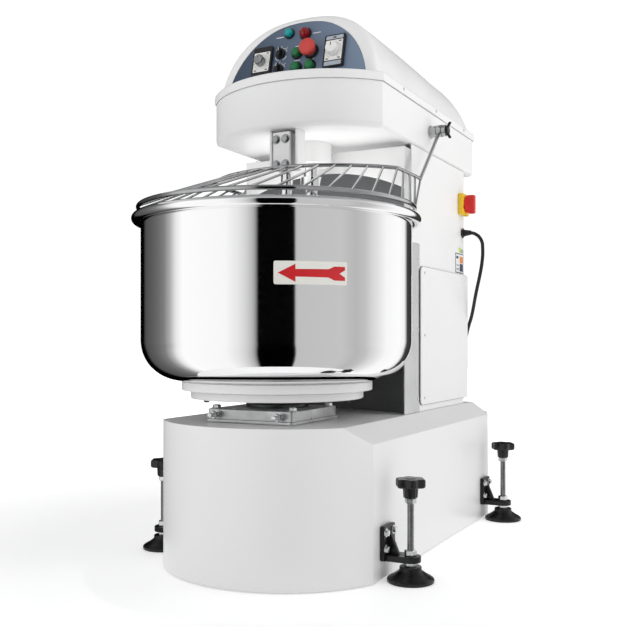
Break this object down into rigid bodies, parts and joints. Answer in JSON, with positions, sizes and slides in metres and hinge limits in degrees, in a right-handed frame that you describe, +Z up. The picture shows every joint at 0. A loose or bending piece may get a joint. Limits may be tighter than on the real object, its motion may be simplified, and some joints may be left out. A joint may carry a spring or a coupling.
{
  "type": "spiral dough mixer",
  "caption": "Floor-standing commercial dough mixer: turning steel bowl, spiral hook and breaker bar under a bowed head, hinged wire guard, control panel and levelling feet.",
  "frame": {"origin": "centre of the machine on the floor, at the middle of its depth from the bowl rim to the back of the base, without the mains lead", "axes": "+X to the right seen from the front, -Y to the front, +Z up"},
  "size_m": [0.7324, 1.2688, 1.262],
  "materials": {
    "white_paint": "gloss white stoved paint on sheet steel",
    "grey_paint": "satin grey paint",
    "stainless": "polished stainless steel",
    "chrome": "bright plated steel",
    "black_cast": "black painted castings",
    "dark_steel": "machined steel, darkened",
    "cast_metal": "machined grey iron",
    "motor_paint": "blue-grey motor enamel",
    "rubber": "matte black rubber",
    "panel_blue": "satin blue-grey panel",
    "black_plastic": "moulded black plastic",
    "white_plastic": "moulded white plastic",
    "red_plastic": "moulded red plastic",
    "green_plastic": "moulded green plastic",
    "teal_lens": "translucent teal lens",
    "yellow_plastic": "moulded yellow plastic"
  },
  "bodies": {
    "frame": {"base_shell": "white_paint", "column_shell": "white_paint", "column_front_cover": "white_paint", "service_cover": "white_paint", "head_box": "white_paint", "head_lid": "white_paint", "spindle_housing": "white_paint", "breaker_bracket": "white_paint", "breaker_clamp": "white_paint", "bearing_pedestal": "cast_metal", "bowl_bearing_housing": "dark_steel", "breaker_bar": "stainless", "bowl_belt": "rubber", "spiral_belt": "rubber", "power_cord": "rubber", "cord_coil": "rubber", "bowl_motor": "motor_paint", "spiral_motor": "motor_paint", "column_recess_liner": "grey_paint", "control_gear_box": "grey_paint", "control_panel": "panel_blue", "indicator_teal": "teal_lens", "indicator_red": "red_plastic", "cable_gland": "black_plastic", "plug": "black_plastic", "slow_timer": "white_plastic", "fast_timer": "white_plastic", "spindle_bearing": "chrome", "guard_pivot_left": "chrome", "guard_pivot_right": "chrome", "mains_switch_plate": "yellow_plastic", "foot_bracket_front_left": "black_cast", "foot_bracket_front_right": "black_cast", "foot_bracket_rear_left": "black_cast", "foot_bracket_rear_right": "black_cast"},
    "bowl": {"bowl": "stainless", "turntable_upper": "white_paint", "turntable_lower": "white_paint", "bowl_shaft": "dark_steel", "bowl_pulley": "cast_metal"},
    "bowl_motor_rotor": {"bowl_motor_pulley": "cast_metal"},
    "spiral": {"spiral_hook": "stainless", "spiral_pulley": "cast_metal"},
    "spiral_motor_rotor": {"spiral_motor_pulley": "cast_metal"},
    "guard": {"guard": "stainless"},
    "guard_knob_left": {"guard_knob_left": "black_plastic"},
    "guard_knob_right": {"guard_knob_right": "black_plastic"},
    "mains_handle": {"mains_switch_handle": "red_plastic"},
    "emergency_stop": {"emergency_stop": "red_plastic"},
    "start_button": {"start_button": "green_plastic"},
    "bowl_button": {"bowl_button": "green_plastic"},
    "jog_button": {"jog_button": "green_plastic"},
    "speed_selector": {"speed_selector": "black_plastic"},
    "direction_selector": {"direction_selector": "black_plastic"},
    "slow_timer_knob": {"slow_timer_knob": "chrome"},
    "fast_timer_knob": {"fast_timer_knob": "white_plastic"},
    "foot_front_left": {"leveling_foot_front_left": "black_cast"},
    "foot_front_right": {"leveling_foot_front_right": "black_cast"},
    "foot_rear_left": {"leveling_foot_rear_left": "black_cast"},
    "foot_rear_right": {"leveling_foot_rear_right": "black_cast"}
  },
  "joints": [
    {"name": "bowl_spin", "type": "hinge", "parent": "frame", "child": "bowl", "pos_m": [0, -0.2226, 0.4], "axis": [0, 0, -1], "continuous": true},
    {"name": "bowl_motor_spin", "type": "hinge", "parent": "frame", "child": "bowl_motor_rotor", "pos_m": [0, 0.1974, 0.23], "axis": [0, 0, -1], "continuous": true},
    {"name": "spiral_spin", "type": "hinge", "parent": "frame", "child": "spiral", "pos_m": [0, -0.0576, 0.9], "axis": [0, 0, -1], "continuous": true},
    {"name": "spiral_motor_spin", "type": "hinge", "parent": "frame", "child": "spiral_motor_rotor", "pos_m": [0, 0.2574, 1.02], "axis": [0, 0, -1], "continuous": true},
    {"name": "guard_hinge", "type": "hinge", "parent": "frame", "child": "guard", "pos_m": [0, 0.1644, 1.023], "axis": [-1, 0, 0], "range_deg": [0, 70]},
    {"name": "guard_knob_left_turn", "type": "hinge", "parent": "frame", "child": "guard_knob_left", "pos_m": [-0.262, 0.1644, 1.023], "axis": [-1, 0, 0], "range_deg": [0, 180]},
    {"name": "guard_knob_right_turn", "type": "hinge", "parent": "frame", "child": "guard_knob_right", "pos_m": [0.262, 0.1644, 1.023], "axis": [1, 0, 0], "range_deg": [0, 180]},
    {"name": "mains_handle_turn", "type": "hinge", "parent": "frame", "child": "mains_handle", "pos_m": [0.2323, 0.4194, 0.875], "axis": [1, 0, 0], "range_deg": [0, 90]},
    {"name": "emergency_stop_press", "type": "slide", "parent": "frame", "child": "emergency_stop", "axis": [0, 0.9748, -0.2233], "range_m": [0, 0.005], "stiffness_N_per_m": 2500},
    {"name": "start_button_press", "type": "slide", "parent": "frame", "child": "start_button", "axis": [0, 0.9748, -0.2233], "range_m": [0, 0.0035], "stiffness_N_per_m": 1200},
    {"name": "bowl_button_press", "type": "slide", "parent": "frame", "child": "bowl_button", "axis": [0, 0.9748, -0.2233], "range_m": [0, 0.0035], "stiffness_N_per_m": 1200},
    {"name": "jog_button_press", "type": "slide", "parent": "frame", "child": "jog_button", "axis": [0, 0.9748, -0.2233], "range_m": [0, 0.0035], "stiffness_N_per_m": 1200},
    {"name": "speed_selector_turn", "type": "hinge", "parent": "frame", "child": "speed_selector", "pos_m": [-0.046, -0.1264, 1.17483], "axis": [0, -0.9748, 0.2233], "range_deg": [-45, 45]},
    {"name": "direction_selector_turn", "type": "hinge", "parent": "frame", "child": "direction_selector", "pos_m": [-0.047, -0.13533, 1.13584], "axis": [0, -0.9748, 0.2233], "range_deg": [-45, 45]},
    {"name": "slow_timer_knob_turn", "type": "hinge", "parent": "frame", "child": "slow_timer_knob", "pos_m": [-0.093, -0.14482, 1.16161], "axis": [0, 0.9748, -0.2233], "range_deg": [0, 300]},
    {"name": "fast_timer_knob_turn", "type": "hinge", "parent": "frame", "child": "fast_timer_knob", "pos_m": [0.098, -0.14482, 1.16161], "axis": [0, 0.9748, -0.2233], "range_deg": [0, 300]},
    {"name": "foot_front_left_screw", "type": "slide", "parent": "frame", "child": "foot_front_left", "axis": [0, 0, 1], "range_m": [-0.085, 0]},
    {"name": "foot_front_right_screw", "type": "slide", "parent": "frame", "child": "foot_front_right", "axis": [0, 0, 1], "range_m": [-0.085, 0]},
    {"name": "foot_rear_left_screw", "type": "slide", "parent": "frame", "child": "foot_rear_left", "axis": [0, 0, 1], "range_m": [-0.085, 0]},
    {"name": "foot_rear_right_screw", "type": "slide", "parent": "frame", "child": "foot_rear_right", "axis": [0, 0, 1], "range_m": [-0.085, 0]}
  ],
  "couplings": [
    {"joint": "bowl_motor_spin", "follows": "bowl_spin", "ratio": 3.3333},
    {"joint": "spiral_motor_spin", "follows": "spiral_spin", "ratio": 2.4}
  ]
}
